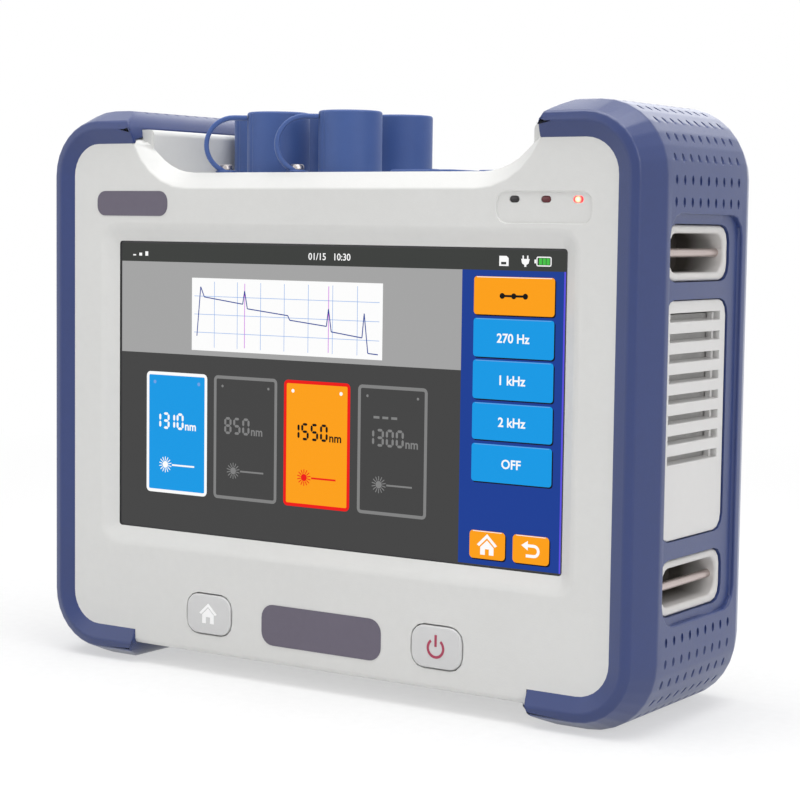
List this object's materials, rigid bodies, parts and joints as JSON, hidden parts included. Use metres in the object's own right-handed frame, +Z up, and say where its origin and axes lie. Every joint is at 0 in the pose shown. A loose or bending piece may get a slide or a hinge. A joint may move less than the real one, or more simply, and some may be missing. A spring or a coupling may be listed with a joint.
{
  "type": "optical time domain reflectometer",
  "caption": "Hand-held fibre test instrument with a large screen between two rubber bumpers, capped fibre ports in a saddle on top, strap slots and louvres in its sides, and a fold-out stand.",
  "frame": {"origin": "under the middle of the instrument, on the plane its bumpers stand on", "axes": "+X to the right as seen by the user, -Y towards the user (screen side), +Z up"},
  "size_m": [0.208, 0.068, 0.168],
  "materials": {
    "housing": "fine moulded texture",
    "key": "satin",
    "bumper": "matt moulded rubber",
    "cap": "matt moulded rubber",
    "seal": "smooth",
    "glass": "polished",
    "display": "lit panel",
    "light_pipe": "clear moulded",
    "black_plastic": "satin",
    "circuit_board": "lacquered",
    "sheet_metal": "bright plated",
    "steel": "plated",
    "aluminium": "milled",
    "adapter_metal": "nickel plated",
    "brass": "gold plated",
    "ceramic": "ground ceramic"
  },
  "bodies": {
    "housing": {"front_housing": "housing", "rear_housing": "housing", "housing_seal": "seal", "right_bumper": "bumper", "left_bumper": "bumper", "right_grille": "housing", "left_grille": "housing", "right_strap_pockets": "housing", "left_strap_pockets": "housing", "strap_bars": "steel", "screen_gasket": "seal", "touch_panel": "glass", "lcd_module": "display", "display_frame": "sheet_metal", "key_switches": "black_plastic", "key_board": "circuit_board", "status_lights": "light_pipe", "main_board": "circuit_board", "processor_shield": "sheet_metal", "optical_module": "aluminium", "fibre_spool": "black_plastic", "speaker": "black_plastic", "port_plate": "housing", "io_board": "circuit_board", "network_jack": "sheet_metal", "usb_sockets": "sheet_metal", "micro_socket": "sheet_metal", "dc_inlet": "black_plastic", "stand_pin": "steel", "battery_door": "housing", "battery_door_screws": "steel", "battery_pack": "black_plastic", "battery_contacts": "brass", "housing_screws": "steel", "ferrule_sleeves": "ceramic", "strap_screws": "steel", "fibre_adapter_1": "adapter_metal", "fibre_adapter_2": "adapter_metal", "fibre_adapter_3": "adapter_metal", "fibre_adapter_4": "adapter_metal", "fibre_adapter_5": "adapter_metal"},
    "home_key": {"home_key": "key"},
    "power_key": {"power_key": "key"},
    "data_door": {"data_door": "cap"},
    "power_door": {"power_door": "cap"},
    "stand": {"stand": "housing"},
    "cap_1": {"port_cap_1": "cap", "cap_strap_1": "cap"},
    "cap_2": {"port_cap_2": "cap", "cap_strap_2": "cap"},
    "cap_3": {"port_cap_3": "cap", "cap_strap_3": "cap"},
    "cap_4": {"port_cap_4": "cap", "cap_strap_4": "cap"},
    "cap_5": {"port_cap_5": "cap", "cap_strap_5": "cap"}
  },
  "joints": [
    {"name": "home_key_press", "type": "slide", "parent": "housing", "child": "home_key", "axis": [0, 1, 0], "range_m": [0, 0.0008], "stiffness_N_per_m": 600},
    {"name": "power_key_press", "type": "slide", "parent": "housing", "child": "power_key", "axis": [0, 1, 0], "range_m": [0, 0.0008], "stiffness_N_per_m": 600},
    {"name": "cap_1_lift", "type": "slide", "parent": "housing", "child": "cap_1", "axis": [0, 0, 1], "range_m": [0, 0.02], "deforming": ["cap_strap_1"]},
    {"name": "cap_2_lift", "type": "slide", "parent": "housing", "child": "cap_2", "axis": [0, 0, 1], "range_m": [0, 0.02], "deforming": ["cap_strap_2"]},
    {"name": "cap_3_lift", "type": "slide", "parent": "housing", "child": "cap_3", "axis": [0, 0, 1], "range_m": [0, 0.02], "deforming": ["cap_strap_3"]},
    {"name": "cap_4_lift", "type": "slide", "parent": "housing", "child": "cap_4", "axis": [0, 0, 1], "range_m": [0, 0.02], "deforming": ["cap_strap_4"]},
    {"name": "cap_5_lift", "type": "slide", "parent": "housing", "child": "cap_5", "axis": [0, 0, 1], "range_m": [0, 0.02], "deforming": ["cap_strap_5"]},
    {"name": "data_door_hinge", "type": "hinge", "parent": "housing", "child": "data_door", "pos_m": [0.025, 0.0195, 0.1491], "axis": [-1, 0, 0], "range_deg": [0, 100]},
    {"name": "power_door_hinge", "type": "hinge", "parent": "housing", "child": "power_door", "pos_m": [0.04825, 0.0145, 0.1491], "axis": [-1, 0, 0], "range_deg": [0, 100]},
    {"name": "stand_hinge", "type": "hinge", "parent": "housing", "child": "stand", "pos_m": [0, 0.0294, 0.0942], "axis": [1, 0, 0], "range_deg": [0, 50]}
  ]
}
